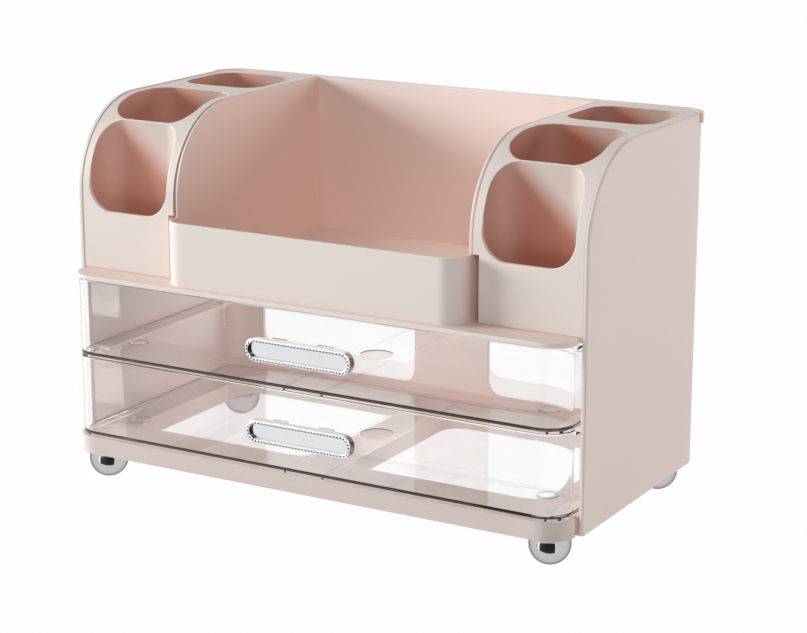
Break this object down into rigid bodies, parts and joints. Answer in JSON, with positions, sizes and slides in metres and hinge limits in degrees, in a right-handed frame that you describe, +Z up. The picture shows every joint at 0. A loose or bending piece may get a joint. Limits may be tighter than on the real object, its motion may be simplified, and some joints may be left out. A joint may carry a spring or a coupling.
{
  "type": "makeup organizer",
  "caption": "Nude pink plastic makeup organizer with clear pull-out drawers, beaded chrome handles, brush holder towers beside an open tray, and chrome ball feet.",
  "frame": {"origin": "On the table under the middle of the object's overall box, between the four feet", "axes": "+Z up, -Y towards the user in front of the drawers, +X to the right hand of that user's view"},
  "size_m": [0.3228, 0.1768, 0.2168],
  "materials": {
    "pink_plastic": "soft gloss",
    "clear_plastic": "clear, polished",
    "chrome": "bright plated",
    "mirror_plate": "silvered",
    "screw_steel": "plain"
  },
  "bodies": {
    "housing": {"base_plate": "pink_plastic", "rear_rim": "pink_plastic", "deck_plate": "pink_plastic", "center_tray": "pink_plastic", "left_shell": "pink_plastic", "left_brush_tower": "pink_plastic", "left_drawer_runner": "pink_plastic", "right_shell": "pink_plastic", "right_brush_tower": "pink_plastic", "right_drawer_runner": "pink_plastic", "front_left_foot": "chrome", "front_right_foot": "chrome", "rear_left_foot": "chrome", "rear_right_foot": "chrome", "foot_screws": "screw_steel"},
    "lower_drawer_unit": {"lower_drawer": "clear_plastic", "lower_handle_shell": "chrome", "lower_handle_mirror": "mirror_plate", "lower_handle_bead_rim": "chrome"},
    "upper_drawer_unit": {"upper_drawer": "clear_plastic", "upper_handle_shell": "chrome", "upper_handle_mirror": "mirror_plate", "upper_handle_bead_rim": "chrome"}
  },
  "joints": [
    {"name": "lower_drawer_slide", "type": "slide", "parent": "housing", "child": "lower_drawer_unit", "axis": [0, -1, 0], "range_m": [0, 0.12]},
    {"name": "upper_drawer_slide", "type": "slide", "parent": "housing", "child": "upper_drawer_unit", "axis": [0, -1, 0], "range_m": [0, 0.12]}
  ]
}
